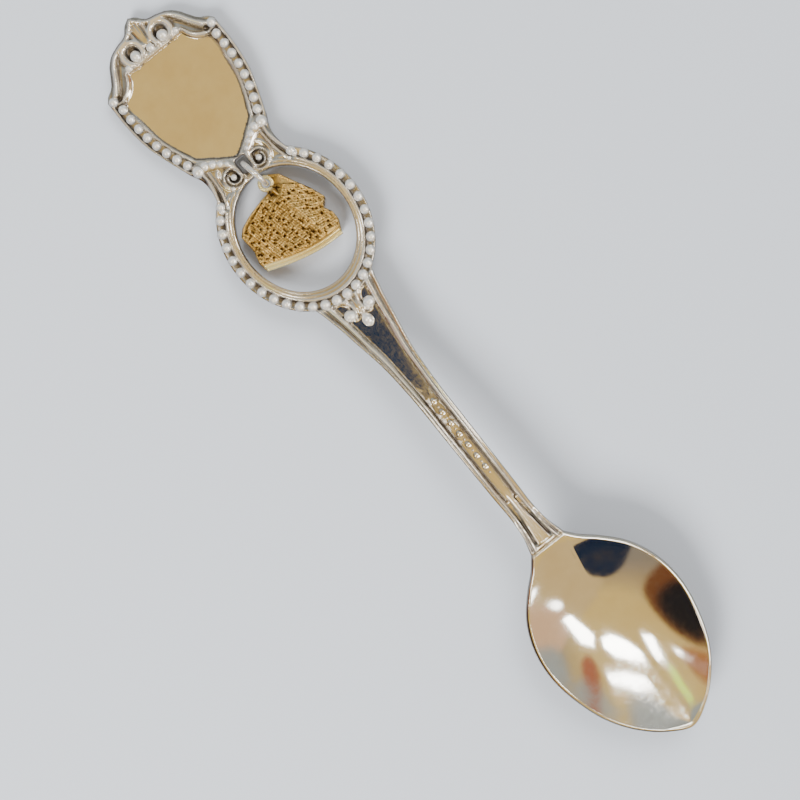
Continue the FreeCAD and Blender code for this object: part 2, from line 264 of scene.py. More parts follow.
# ---------------------------------------------------------------- closed plates from a relief
class PlateMesh:
    """A closed solid between a top and a bottom surface, cut where inside falls to nothing."""

    least_share = 0.04

    def __init__(self, xs, stations, inside, top, bottom, rounding):
        self.xs, self.stations, self.inside = xs, stations, inside
        self.top, self.bottom, self.rounding = top, bottom, rounding
        self.kept = inside > 0
        self.index = np.full(inside.shape, -1)
        self.index[self.kept] = np.arange(self.kept.sum())
        lip = rounding - np.sqrt(rounding**2 - np.clip(rounding - inside, 0, rounding) ** 2)
        x, s = np.meshgrid(xs, stations, indexing="ij")
        self.rows = np.stack([g[self.kept] for g in (x, s, top - lip, bottom + lip)], 1).tolist()
        self.cut_at = {}
        self.rim = []
        k = self.kept
        self.whole = k[:-1, :-1] & k[1:, :-1] & k[1:, 1:] & k[:-1, 1:]
        some = k[:-1, :-1] | k[1:, :-1] | k[1:, 1:] | k[:-1, 1:]
        self.cut_faces = [self.cut_cell(i, j) for i, j in np.argwhere(some & ~self.whole)]

    def cut(self, a, b):
        """The point where the plate's edge crosses the grid line from a (kept) to b (not)."""
        key = (a, b)
        if key not in self.cut_at:
            share = self.inside[a] / (self.inside[a] - self.inside[b])
            share = min(max(share, self.least_share), 1 - self.least_share)
            high, low = ((1 - share) * grid[a] + share * grid[b] for grid in (self.top, self.bottom))
            x = (1 - share) * self.xs[a[0]] + share * self.xs[b[0]]
            s = (1 - share) * self.stations[a[1]] + share * self.stations[b[1]]
            self.cut_at[key] = len(self.rows)
            self.rows.append([x, s, high - self.rounding, low + self.rounding])
        return self.cut_at[key]

    def cut_cell(self, i, j):
        """The kept part of one grid cell, and the edge that it adds to the rim."""
        corners = [(i, j), (i + 1, j), (i + 1, j + 1), (i, j + 1)]
        face, joins = [], []
        for a, b in zip(corners, corners[1:] + corners[:1]):
            if self.kept[a]:
                face.append(int(self.index[a]))
            if self.kept[a] and not self.kept[b]:
                joins.append(len(face))
                face.append(self.cut(a, b))
            if self.kept[b] and not self.kept[a]:
                face.append(self.cut(b, a))
        for n in joins:
            self.rim.append((face[n], face[(n + 1) % len(face)]))
        return face

    def faces(self, flat, block=8):
        """Faces over the kept cells. Whole blocks of flat cells become one face each."""
        single = self.whole.copy()
        made = []
        plain = self.whole & flat
        for i in range(0, plain.shape[0] - block, block):
            for j in range(0, plain.shape[1] - block, block):
                if plain[i:i + block, j:j + block].all():
                    single[i:i + block, j:j + block] = False
                    ring = [self.index[i + n, j] for n in range(block)]
                    ring += [self.index[i + block, j + n] for n in range(block)]
                    ring += [self.index[i + block - n, j + block] for n in range(block)]
                    ring += [self.index[i, j + block - n] for n in range(block)]
                    made.append([int(v) for v in ring])
        i, j = np.nonzero(single)
        near, far = self.index[:, :-1], self.index[:, 1:]
        quads = np.stack([near[i, j], near[i + 1, j], far[i + 1, j], far[i, j]], 1)
        return made + quads.tolist() + self.cut_faces

    def build(self, name, flat_top, flat_bottom):
        """The finished object. Flat blocks of its two faces are marked by cell."""
        count = len(self.rows)
        top = [face[::-1] for face in self.faces(flat_top)]
        bottom = [[v + count for v in face] for face in self.faces(flat_bottom)]
        wall = [[a, b, b + count, a + count] for a, b in self.rim]
        rows = np.array(self.rows)
        places = np.concatenate([rows[:, [0, 1, 2]], rows[:, [0, 1, 3]]])
        faces = top + bottom + wall
        used = np.unique(np.concatenate([np.array(face) for face in faces]))
        renumber = np.zeros(2 * count, int)
        renumber[used] = np.arange(len(used))
        faces = [renumber[face].tolist() for face in faces]
        return new_object(name, places[used], faces)


def box_blur(grid, reach):
    """The grid averaged over a square of nodes."""
    wide = np.pad(grid, reach, mode="edge")
    size = 2 * reach + 1
    for axis in (0, 1):
        total = np.insert(np.cumsum(wide, axis=axis), 0, 0, axis=axis)
        upper = np.take(total, range(size, total.shape[axis]), axis=axis)
        lower = np.take(total, range(0, total.shape[axis] - size), axis=axis)
        wide = (upper - lower) / size
    return wide


def grid_value(values, xs, stations, x, s):
    """The grid's value beside each point."""
    i = np.clip(np.searchsorted(xs, x), 0, len(xs) - 1)
    j = np.clip(np.searchsorted(stations, s), 0, len(stations) - 1)
    return values[i, j]


# ---------------------------------------------------------------- the handle's relief
fine_pitch, stem_pitch = 0.093, 0.128
handle_xs = np.arange(0, 9.75, fine_pitch)
handle_stations = np.r_[np.arange(-0.2, 51, fine_pitch), np.arange(51.04, 83.9, stem_pitch)]
relief = Relief(handle_xs, handle_stations)


def half_width_of(lines, stations):
    """The half width at each station of an outline given as lines down its right side."""
    widths = []
    for line in lines:
        path = smooth_line(line, 0.05)
        widths.append(np.interp(stations, path[:, 1], path[:, 0], left=-1, right=-1))
    return np.max(widths, axis=0)


def handle_half_width(stations):
    """The handle's outline: the wider of the shield, the ring and the stem at each station."""
    plain = half_width_of(OUTLINE_STRETCHES + [STEM_SIDE], stations)
    share = 1 - ((stations - ring_station) / ring_size[1]) ** 2
    return np.maximum(plain, ring_size[0] * np.sqrt(np.clip(share, 0, 1)) - (share <= 0))


def handle_inside(grid):
    """Each node's distance inside the plate's edge (negative off the plate)."""
    stations = np.arange(0, neck_station + 0.05, 0.07)
    edge = np.stack([np.maximum(handle_half_width(stations), 0), stations], axis=1)
    distance, _ = grid.near(edge, 1.5)
    outer = np.where(grid.x < handle_half_width(grid.s), distance, -distance)
    opening = oval_distance(grid.x, grid.s, opening_size)
    middle, half = (slot_start + slot_end) / 2, (slot_end - slot_start) / 2
    across = grid.x - slot_half_width + slot_corner
    down = abs(grid.s - middle) - half + slot_corner
    slot = np.hypot(np.maximum(across, 0), np.maximum(down, 0)) - slot_corner
    slot = slot + np.minimum(np.maximum(across, down), 0)
    return np.minimum.reduce([outer, opening, slot, neck_station - grid.s])


def sink_plaque(r):
    """The flat polished plaque floor, under the crest's scalloped lower edge."""
    side = np.concatenate([smooth_line(PLAQUE_CORNER + PLAQUE_SIDE[1:]), smooth_line(PLAQUE_FOOT)])
    width = np.interp(r.s, side[:, 1], side[:, 0], left=-1, right=-1)
    top = smooth_line(PLAQUE_TOP)
    lower = np.interp(r.x, top[:, 0], top[:, 1])
    distance, _ = r.near(np.concatenate([top, side]), 1.2)
    within = np.where((r.x < width) & (r.s > lower), distance, -distance)
    r.plaque = within
    r.z = r.z - plaque_depth * smooth_step(within, -0.05, 0.16)


def cut_bead_rows(r):
    """The sunk channels that the beads stand in, beside the plaque and round the ring, darkened with
    painted shade.
    """
    path = [(7.35, 7.4)] + PLAQUE_BEADS + [(4.9, 20.4)]
    distance, _ = r.near(smooth_line(path), 1.0)
    r.z = r.z - 0.28 * (1 - smooth_step(distance, 0.55, 0.74))
    # painted shade on the floor of the channel beside the plaque
    r.patina_and_shade += 0.5 * (1 - smooth_step(distance, 0.52, 0.78))
    away = abs(oval_distance(r.x, r.s, bead_row_size))
    below_waist = smooth_step(r.s, 26.0, 27.4)
    r.z = r.z - 0.24 * (1 - smooth_step(away, 0.42, 0.68)) * below_waist
    # painted shade on the floor of the channel round the ring
    r.patina_and_shade += 0.5 * (1 - smooth_step(away, 0.5, 0.78)) * below_waist


def raise_flange(r, inside):
    """The thin bright flange that runs round the whole edge."""
    share = smooth_step(r.s, 6.6, 7.6) * (oval_distance(r.x, r.s, opening_size) > 1.0)
    line = 0.12 * np.clip(1 - ((inside - 0.2) / 0.2) ** 2, 0, 1)
    r.z = r.z + line * share


def raise_ring_bands(r):
    """The three fine ridges between the oval opening and the ring's beads."""
    out = oval_distance(r.x, r.s, opening_size)
    band = oval_distance(r.x, r.s, bead_row_size)
    width = np.maximum(out - band - ring_bead_radius + 0.06, 0.3)
    share = np.clip(out / width, 0, 1)
    wave = np.abs(np.sin(share * 3 * math.pi)) ** 0.8
    height = 0.05 + 0.17 * wave
    lower = smooth_step(r.s, 24.9, 25.6) * (1 - smooth_step(share, 0.98, 1.0)) * (out > -0.4)
    r.z = np.where(share < 1, r.z * (1 - lower) + height * lower, r.z)
    # painted shade in the troughs between the three ridges
    r.patina_and_shade += np.where(share < 1, lower * (1 - wave) ** 2 * 0.6, 0)


def carve_crest(r):
    """Palmette, C-scroll volutes and acanthus leaves over the plaque."""
    r.groove([(0.1, 1.2), (0.1, 4.4)], 1.0, 0.22)
    r.hollow_round(VOLUTE, 1.75, 0.34)
    r.groove([(3.3, 3.3), (4.7, 4.3), (5.5, 5.5), (6.3, 6.5), (7.2, 7.0)], (0.75, 0.62), 0.13)
    for shift in (-0.3, -0.02, 0.26):
        line = [(4.1 + shift, 3.9 - 0.7 * shift), (4.95 + shift, 4.95 - 0.7 * shift),
                (5.75 + 0.8 * shift, 6.15 - 0.7 * shift), (6.7 + 0.4 * shift, 6.95 - 0.6 * shift)]
        r.groove(line, 0.13, 0.1)
    for reach, top in ((0.0, 0.5), (0.42, 1.0)):
        line = [(0.1 + 0.35 * reach, 4.1), (0.1 + 0.7 * reach, 2.8), (reach, top + 0.3)]
        r.ridge(line, (0.12, 0.22), 0.3, foot=-0.08)
    r.ridge([(0.4, 4.2), (0.74, 3.2), (0.92, 2.3), (0.95, 1.7)], (0.14, 0.24), 0.32)
    r.ridge([(0.05, 0.55), (0.8, 1.3), (1.7, 1.95), (3.1, 2.32), (4.3, 2.9), (5.2, 3.85), (5.9, 5.0),
             (6.7, 6.15), (7.5, 6.95), (8.0, 7.2)], (0.26, 0.42), (0.3, 0.5))
    band = [math.radians(a) for a in range(-125, 146, 15)]
    for size, half_width, rise in ((1.3, 0.46, 0.42), (1.52, 0.14, 0.46)):
        line = [(VOLUTE[0] + size * math.sin(a), VOLUTE[1] - 1.1 * size * math.cos(a)) for a in band]
        r.ridge(line, half_width, rise, foot=-0.06)
    r.hollow_round((2.12, 4.28), 1.0, 0.34)
    # painted shade in the hollow round the volute's ball
    away = np.hypot(r.x - 2.1, r.s - 4.1)
    r.patina_and_shade += 0.8 * (1 - smooth_step(away, 0.8, 1.0))
    r.ridge([(4.4, 5.2), (4.95, 6.35), (5.85, 7.25), (6.9, 7.66), (7.8, 7.5)], (0.2, 0.26), 0.34)


def carve_waist(r):
    """V ridge, spirals and the two stems each side of the slot under the plaque."""
    r.groove([(5.0, 21.3), (4.55, 22.6), (4.7, 24.2), (5.3, 26.0)], 0.75, 0.2)
    r.hollow_round((2.0, 23.8), 1.7, 0.4)
    r.ridge([(4.95, 20.25), (3.6, 20.75), (2.3, 21.6), (1.45, 22.25), (1.1, 23.1), (1.0, 24.2)],
            (0.8, 0.28), (0.46, 0.3))
    # painted shade round the slot, so that it reads as a dark crevice
    r.patina_and_shade += 0.8 * (1 - smooth_step(np.hypot(r.x, 0.6 * (r.s - 23.4)), 0.75, 1.15))
    turns = 1.55
    steps = 26
    spiral = []
    for n in range(steps + 1):
        share = n / steps
        angle = -0.6 + share * turns * 2 * math.pi
        reach = 0.74 + 0.78 * share
        spiral.append((2.0 + reach * math.cos(angle), 23.8 + reach * math.sin(angle)))
    r.ridge(spiral, (0.16, 0.2), 0.5, foot=-0.22, soft=0.03)
    r.ridge([(4.95, 20.9), (4.75, 22), (4.98, 23.4), (5.45, 25.0), (5.75, 26.1)], (0.26, 0.36), 0.34)
    r.ridge([(4.2, 21.5), (4.22, 22.8), (4.33, 24), (4.6, 25.2), (4.85, 26.1)], (0.2, 0.26), 0.26)
    r.ridge([(3.1, 21.9), (3.6, 22.6), (3.72, 23.7), (3.35, 24.7)], (0.14, 0.16), 0.2)
    r.groove([(4.5, 21.6), (4.47, 22.8), (4.62, 24.1), (5.05, 25.5)], 0.13, 0.22)


def shape_stem(r):
    """The two rims, the sunk floor between them and the fluted neck."""
    width = handle_half_width(r.s)
    rim = np.interp(r.s, (41, 45.3, 50, 56, 79, 83.6), (1.5, 1.4, 1.16, 0.86, 0.72, 0.9))
    share = (width - r.x) / rim
    stem = smooth_step(oval_distance(r.x, r.s, ring_size), 0.02, 0.2) * (r.s > 40)
    neck = smooth_step(r.s, 76.0, 87.0)
    floor = -channel_depth * (1 - neck)
    valley = -0.13 * np.clip(1 - ((share - 0.38) / 0.25) ** 2, 0, 1)
    inner = 0.2 * np.clip(1 - ((share - 0.76) / 0.24) ** 2, 0, 1) * (1 - 0.4 * neck)
    sunk = floor * smooth_step((share - 0.98) * rim, 0, 0.2)
    r.z = r.z + stem * (valley + inner + sunk)
    # less of the recess map's painted shade on the channel floor beside the rims, up to stations 58-64
    r.patina_and_shade -= 0.75 * stem * (share > 1.06) * (1 - smooth_step(r.s, 58, 64))
    r.ridge([(0, 75.4), (0, 78.5), (0, 83.4)], (0.3, 0.8), (0.05, 0.6), foot=-channel_depth)
    r.groove([(0.62, 76.6), (0.8, 79.2), (1.12, 82.7)], (0.2, 0.22), 0.6)
    r.groove([(1.35, 79.4), (1.6, 81.6), (1.95, 83.5)], 0.15, 0.3)


def carve_trefoil(r):
    """The two short stems that hook from the ring's lowest beads to the trefoil's balls."""
    r.ridge([(1.5, 44.2), (0.85, 44.85), (0.5, 45.8), (0.62, 46.6), (1.0, 47.05)], 0.3, 0.5, foot=-0.45)
    r.ridge([(0, 44.6), (0, 46.4), (0, 47.6)], (0.2, 0.3), 0.4, foot=-0.5)


inside = handle_inside(relief)
sink_plaque(relief)
carve_crest(relief)
cut_bead_rows(relief)
raise_ring_bands(relief)
carve_waist(relief)
shape_stem(relief)
carve_trefoil(relief)
raise_flange(relief, inside)


def make_handle():
    """The stamped handle, from the finial to the neck."""
    xs, both_sides = relief.mirrored()
    height = box_blur(both_sides(relief.z), 1)
    depth_inside = both_sides(inside)
    stations = relief.stations
    top = plate_top(stations) + height
    bottom = np.broadcast_to(plate_top(stations) - plate_thickness, height.shape)
    plate = PlateMesh(xs, stations, depth_inside, top, bottom, edge_round)
    plaque = both_sides(relief.plaque)
    corners = [height[:-1, :-1], height[1:, :-1], height[1:, 1:], height[:-1, 1:]]
    level = np.ptp(corners, axis=0) < 1e-4
    deep = depth_inside[:-1, :-1] > 0.8
    off_edge = abs(plaque[:-1, :-1]) > 0.5
    made = plate.build("handle_stamping", level & deep & off_edge, deep)

    # recess: darkening of hollows and creases from the blurred height, painted shade with some patina,
    # plus the carving's painted shade; none on the plaque
    off_plaque = plaque < 0.3
    broad_change = box_blur(height, 6) - height
    fine_change = box_blur(height, 2) - height
    recess = np.clip(broad_change / 0.2 - 0.08, 0, 1) + np.clip(fine_change / 0.07 - 0.15, 0, 0.8)
    recess = np.clip(box_blur(recess, 1) + both_sides(relief.patina_and_shade), 0, 1) * off_plaque
    raised = box_blur(np.clip(-broad_change / 0.16, 0, 1) * off_plaque, 1)
    x, station, z = plan_places(made)
    on_top = z > middle_height(station)
    for name, grid in (("recess", recess), ("raised", raised)):
        values = grid_value(grid, xs, stations, x, station)
        set_attribute(made, name, np.where(on_top, values, 0))
    return made


# ---------------------------------------------------------------- beads and balls
# (x, station, radius) of the small balls where scrolls and stems end, and of the lumps on the V ridge
SCROLL_ENDS = [(3.75, 5.0, 0.46), (7.9, 7.05, 0.62), (0.98, 1.62, 0.3), (2.0, 23.8, 0.42),
               (2.95, 24.9, 0.3), (5.8, 26.2, 0.4), (4.9, 26.3, 0.28)]
WAIST_LUMPS = [(5.05, 20.5, 0.8), (4.0, 20.5, 0.64), (3.1, 20.92, 0.58), (2.3, 21.45, 0.48),
               (1.6, 22.0, 0.38)]


def dome_rows():
    """(x, station, half width, half length, rise over the plate, foot) of each raised ball."""
    rows = []
    for x, s in even_points(smooth_line(PLAQUE_BEADS, 0.05), plaque_bead_count):
        rows.append((x, s, plaque_bead_radius, plaque_bead_radius, 0.44, -0.26))
    for x, s, radius in SCROLL_ENDS:
        rows.append((x, s, radius, radius, 0.16 + 0.55 * radius, -0.1))
    for x, s, radius in WAIST_LUMPS:
        rows.append((x, s, radius, radius, 0.34 + 0.38 * radius, -0.1))
    rows.append((2.12, 4.36, 0.78, 0.8, 0.46, -0.45))
    rows.append((1.5, 46.45, 0.8, 0.8, 0.36, -0.55))
    rows = [(side * x, *rest) for x, *rest in rows for side in (-1, 1)]
    for number in ring_bead_numbers:
        angle = 2 * math.pi * number / ring_bead_count
        x = bead_row_size[0] * math.sin(angle)
        s = ring_station - bead_row_size[1] * math.cos(angle)
        rows.append((x, s, ring_bead_radius, ring_bead_radius, 0.46, -0.26))
    rows.append((0, 4.66, 0.54, 0.54, 0.42, -0.1))
    return rows


def ornament_rows():
    """A plain running ornament down the channel: low ovals with a small dot between each pair."""
    pitch, first, last = 1.7, 61.2, 71.4
    foot = -channel_depth - 0.1
    rows = []
    for station in np.arange(first, last, pitch):
        rows.append((0, station, 0.42, 0.56, -channel_depth + 0.2, foot))
        rows.append((0, station + pitch / 2, 0.17, 0.17, -channel_depth + 0.14, foot))
    return rows


def make_beads(name, rows):
    """Domes joined into one piece. Each is a little uneven, as cast beads are."""
    around, rings = 26, 10
    foot_tilt, unevenness = math.radians(102), 0.035
    places, faces, recess = [], [], []
    for x, s, half_wide, half_long, rise, foot in rows:
        first = len(places)
        ground = plate_top(s)
        uneven = [1 + chance.uniform(-unevenness, unevenness) for _ in range(3)]
        places.append((x, s, ground + rise * uneven[2]))
        recess.append(0)
        for n in range(1, rings + 1):
            tilt = foot_tilt * n / rings
            out = math.sin(tilt) ** 0.9
            drop = (rise - foot) * (1 - math.cos(tilt))
            for m in range(around):
                turn = 2 * math.pi * m / around
                places.append((x + half_wide * uneven[0] * out * math.cos(turn),
                               s + half_long * uneven[1] * out * math.sin(turn),
                               ground + rise * uneven[2] - drop))
                # darker towards each dome's foot, where it meets the plate: painted shade
                recess.append(max(0, (n / rings - 0.62) / 0.3))
        for m in range(around):
            faces.append([first, first + 1 + (m + 1) % around, first + 1 + m])
        faces += band_faces(first + 1, around, rings - 1)
    made = new_object(name, places, faces)
    set_attribute(made, "recess", recess)
    return made


def make_drop():
    """The trefoil's lowest ball: a pear pointed towards the ring."""
    around, rings = 28, 12
    centre_station, half_wide, half_long = 48.05, 0.72, 0.98
    rise, height, foot_tilt = 0.3, 0.82, math.radians(100)
    places, recess = [], []
    for n in range(rings + 1):
        tilt = foot_tilt * n / rings
        reach = math.sin(tilt)
        for m in range(around):
            turn = 2 * math.pi * m / around
            pinch = 1 - 0.42 * max(-math.sin(turn) * reach, 0) ** 1.4
            places.append((half_wide * reach * math.cos(turn) * pinch,
                           centre_station + half_long * reach * math.sin(turn),
                           plate_top(centre_station) + rise - height * (1 - math.cos(tilt))))
            # darker towards the foot, where it turns under to the plate: painted shade
            recess.append(max(0, n / rings - 0.75) * 4)
    made = new_object("trefoil_drop", places, band_faces(0, around, rings))
    set_attribute(made, "recess", recess)
    return made


# ---------------------------------------------------------------- the bowl
inside_depth, outside_depth, bowl_wall = 4.85, 5.35, 0.8
lip_width, lip_rise, lip_sink, lip_drop = 0.5, 0.15, 0.06, 0.5
bowl_tip_height, bowl_neck_rise = 5.8, 1.9
neck_softness = 1.45
bowl_centre_station = 98.5


def dish(share):
    """A smooth rise from 0 in the middle to 1 at the edge, gentler at the edge than a parabola."""
    return (np.sqrt(1 + share**2) - 1) / (math.sqrt(2) - 1)


def bowl_surface(x, station, half_width, deepest):
    """Height of a dish of that depth at a plan point, and the height of its rim at that station."""
    t = np.clip((station - neck_station) / (2 * half_length - neck_station), 0, 1)
    rim = bowl_tip_height + bowl_neck_rise * (1 - t) ** 2.2
    place = 2 * t * (1.25 - 0.25 * t) - 1
    depth = deepest * (1 - dish(place)) ** np.where(place < 0, neck_softness, 1)
    share = np.minimum(abs(x) / np.maximum(half_width, 1e-6), 1)
    return rim - depth * (1 - dish(share)), rim


def make_bowl():
    """The bowl: inside, rounded lip and outside, as rings round its deepest point."""
    around, lip_steps = 216, 8
    side = smooth_line(BOWL_SIDE + [(-x, s) for x, s in BOWL_SIDE[-2::-1]], 0.1)
    neck_half_width = BOWL_SIDE[0][0]
    across = smooth_line([(neck_half_width, neck_station), (-neck_half_width, neck_station)], 0.4)
    outline = np.concatenate([side, across[-2:0:-1], side[:1]])
    edge = even_points(outline, around, endpoint=False)
    ahead = np.roll(edge, -1, axis=0) - np.roll(edge, 1, axis=0)
    inward = np.stack([-ahead[:, 1], ahead[:, 0]], axis=1)
    inward /= np.linalg.norm(inward, axis=1)[:, None]
    centre = np.array([0, bowl_centre_station])
    inward *= np.sign(np.sum(inward * (centre - edge), axis=1))[:, None]
    right = smooth_line(BOWL_SIDE, 0.02)

    def heights(share, deepest):
        """The dish's height, and its rim's, at the edge's points drawn in towards the centre."""
        x, station = (centre + share * (edge - centre)).T
        return bowl_surface(x, station, np.interp(station, right[:, 1], right[:, 0]), deepest)

    rings = []
    shares = np.sin(np.linspace(0.03, 1, 50) * math.pi / 2)
    lip_edge = edge + inward * lip_width
    for share in shares:
        surface, _ = heights(share, inside_depth)
        surface -= lip_sink * share**8
        rings.append(np.column_stack([centre + share * (lip_edge - centre), surface]))
    _, rim = heights(1, inside_depth)
    for step in range(1, lip_steps + 1):
        turn = math.pi * step / lip_steps
        inset = lip_width * (1 + math.cos(turn)) / 2
        height = rim - lip_sink + lip_rise * math.sin(turn) - lip_drop * (step / lip_steps) ** 2
        rings.append(np.column_stack([edge + inward * inset, height]))
    foot_edge = edge + inward * lip_sink
    for share in shares[::-1]:
        surface, _ = heights(share, outside_depth)
        rings.append(np.column_stack([centre + share * (foot_edge - centre), surface - bowl_wall]))
    faces = band_faces(0, around, len(rings) - 1)
    last = (len(rings) - 1) * around
    faces.append(list(range(around))[::-1])
    faces.append([last + m for m in range(around)])
    return new_object("bowl_pressing", np.concatenate(rings), faces)


# ---------------------------------------------------------------- jump ring and charm
link_radius, link_wire = 1.92, 0.35
link_centre = (0.3, 25.0, 2.35)
link_turn = math.radians(10)


def sweep(name, centres, radius, closed=True, around=16):
    """A round wire along a line of (x, station, height) points."""
    path = np.array(centres, float)
    path[:, 1] = half_length - path[:, 1]
    count = len(path)
    ahead = np.roll(path, -1, axis=0) - np.roll(path, 1, axis=0)
    if not closed:
        ahead[0], ahead[-1] = path[1] - path[0], path[-1] - path[-2]
    ahead /= np.linalg.norm(ahead, axis=1)[:, None]
    normal = np.cross(ahead[0], ahead[count // 3])
    normal /= np.linalg.norm(normal)
    places, faces = [], []
    for place, forward in zip(path, ahead):
        outward = np.cross(forward, normal)
        for m in range(around):
            turn = 2 * math.pi * m / around
            offset = radius * (math.cos(turn) * outward + math.sin(turn) * normal)
            places.append((place + offset) * MM)
    rounds = count if closed else count - 1
    for n in range(rounds):
        a, b = n * around, ((n + 1) % count) * around
        for m in range(around):
            after = (m + 1) % around
            faces.append([a + m, b + m, b + after, a + after])
    if not closed:
        faces.append(list(range(around)))
        faces.append([(count - 1) * around + m for m in range(around)][::-1])
    made = add_mesh(name, places, faces)
    made.data.shade_smooth()
    return made


def make_link():
    """The jump ring: one turn of round wire whose cut ends just meet."""
    gap, start, steps = math.radians(0.8), math.radians(60), 96
    points = []
    for n in range(steps + 1):
        angle = start + gap / 2 + (2 * math.pi - gap) * n / steps
        out, up = link_radius * math.cos(angle), link_radius * math.sin(angle)
        points.append((link_centre[0] - out * math.sin(link_turn),
                       link_centre[1] - out * math.cos(link_turn), link_centre[2] + up))
    return sweep("jump_ring_wire", points, link_wire, closed=False, around=20)


CHARM_OUTLINE = [(-0.1, 28), (-3.6, 28.8), (-5.2, 29.4), (-6, 30.2), (-5.9, 32.6), (-6.3, 34.2),
                 (-6.2, 35.2), (-2.6, 36.4), (0.1, 37), (1.9, 37.3), (4.3, 37.4), (5, 35.9),
                 (5, 34.8), (4.4, 33.7), (5.4, 32.7), (4.7, 30.8), (3.5, 28.6), (2.7, 27), (1.5, 26.1)]
CHARM_CORNER = [(0.7, 28), (2.5, 35.9)]
CHARM_LEDGE = [(-6.3, 34.6), (-2.6, 35.9), (1, 36.7), (4.6, 36.9)]
# a point of each roof line, as x and station, and its slope
CHARM_ROOF_LEFT, CHARM_ROOF_RIGHT = (-0.1, 28.1, -0.36), (0.9, 27.2, 0.75)
face_width_left, face_width_right = 6.6, 3.4
charm_floor, charm_side, charm_ridge = 0.25, 2.5, 1.3
charm_pitch, charm_edge_round = 0.075, 0.14
brick_rows, brick_column = 24, 0.31
ledge_height, ledge_bar = 2.2, 0.27
eye_centre, eye_radius, eye_band, eye_hole = (0.626, 26.85, 2.35), 0.82, 0.27, 0.64


def polygon_inside(grid, corners, reach=1.2):
    """Each node's distance inside a closed polygon (negative outside)."""
    ring = np.array(corners + corners[:1], float)
    distance, _ = grid.near(ring, reach)
    odd = np.zeros(grid.x.shape, bool)
    for (ax, ay), (bx, by) in zip(ring[:-1], ring[1:]):
        if ay != by:
            crosses = (ay > grid.s) != (by > grid.s)
            odd ^= crosses & (grid.x < (bx - ax) * (grid.s - ay) / (by - ay) + ax)
    return np.where(odd, distance, -distance)


def brick_relief(x, station, down, across):
    """Uneven courses and uprights with sunk windows. down is 0 at the roof and 1 at the base."""
    wobble = 0.12 * np.sin(3.1 * x + 1.7 * station) + 0.1 * np.sin(5.3 * station - 2.2 * x)
    row_phase = down * brick_rows + wobble
    column_phase = across / brick_column + 0.7 * wobble
    courses = np.abs(np.sin(row_phase * math.pi)) ** 0.7
    uprights = np.abs(np.sin(column_phase * math.pi)) ** 0.6
    row, column = np.floor(row_phase).astype(int), np.floor(column_phase).astype(int)
    many = 64
    dice = np.array([[chance.random() for _ in range(many)] for _ in range(many)])
    luck = dice[row % many, column % many]
    texture = 0.15 * courses + 0.13 * uprights
    texture -= 0.22 * (np.minimum(courses, uprights) > 0.5) * (luck > 0.84)
    texture += 0.12 * ((column % 4 == 0) & (luck < 0.7)) + 0.08 * ((row % 5 == 0) & (luck < 0.8))
    return texture


def make_charm():
    """The charm: a generic two-faced brick building in relief, with its base ledge."""
    grid = Relief(np.arange(-6.9, 6.0, charm_pitch), np.arange(25.6, 38.0, charm_pitch))
    from_eye = np.hypot(grid.x - eye_centre[0], grid.s - eye_centre[1])
    within = np.minimum(polygon_inside(grid, CHARM_OUTLINE), from_eye - eye_hole)
    (corner_x, corner_s), (foot_x, foot_s) = CHARM_CORNER
    across = grid.x - (grid.s - corner_s) * (foot_x - corner_x) / (foot_s - corner_s) - corner_x
    ledge = smooth_line(CHARM_LEDGE)
    base = np.interp(grid.x, ledge[:, 0], ledge[:, 1])
    left = across < 0
    away = np.where(left, -across / face_width_left, across / face_width_right)
    body = charm_floor + charm_side + charm_ridge * np.clip(1 - away, 0, 1)
    body = np.minimum(body, eye_centre[2] + 1.1 * np.maximum(from_eye - 1.0, 0))
    roof_left, roof_right = [at_station + slope * (grid.x - at_x)
                             for at_x, at_station, slope in (CHARM_ROOF_LEFT, CHARM_ROOF_RIGHT)]
    roof = np.where(left, roof_left, roof_right)
    down = (grid.s - roof) / np.maximum(base - roof, 1.0)
    texture = brick_relief(grid.x, grid.s, down, across)
    grid.z = body + np.where((down > 0.02) & (down < 0.98), texture, 0.05)
    corner_line = [(corner_x + 0.1, corner_s + 0.3), (foot_x, foot_s)]
    grid.ridge(corner_line, 0.17, 0.16, foot=charm_floor + charm_side + charm_ridge)
    beyond = smooth_step(grid.s - base, -0.06, 0.05)
    grid.z = grid.z * (1 - beyond) + (charm_floor + ledge_height) * beyond
    border = np.clip(1 - ((within - 0.16) / 0.16) ** 2, 0, 1)
    grid.z += 0.12 * border * (down < 0.9)
    bottom = np.full(grid.z.shape, charm_floor)
    plate = PlateMesh(grid.xs, grid.stations, within, grid.z, bottom, charm_edge_round)
    deep = within[:-1, :-1] > 0.7
    made = plate.build("charm_building", np.zeros(deep.shape, bool), deep)
    recess = np.clip((box_blur(grid.z, 4) - grid.z) / 0.14 + 0.12, 0, 1) * (1 - beyond)
    x, station, _ = plan_places(made)
    set_attribute(made, "recess", grid_value(recess, grid.xs, grid.stations, x, station))
    return made


def make_ledge(name, shift):
    """One of the two bright bars along the charm's base."""
    line = smooth_line(CHARM_LEDGE, 0.25)[1:-1]
    points = [(x, s + shift, charm_floor + ledge_height + 0.1) for x, s in line]
    made = sweep(name, points, ledge_bar, closed=False, around=14)
    set_attribute(made, "recess", [0] * len(made.data.vertices))
    return made


def make_eye():
    """The charm's eye: a flat-lying band for the jump ring."""
    steps = 56
    points = []
    for n in range(steps):
        angle = 2 * math.pi * n / steps
        points.append((eye_centre[0] + eye_radius * math.cos(angle),
                       eye_centre[1] + eye_radius * math.sin(angle), eye_centre[2]))
    made = sweep("charm_eye", points, eye_band, around=16)
    set_attribute(made, "recess", [0.1] * len(made.data.vertices))
    return made


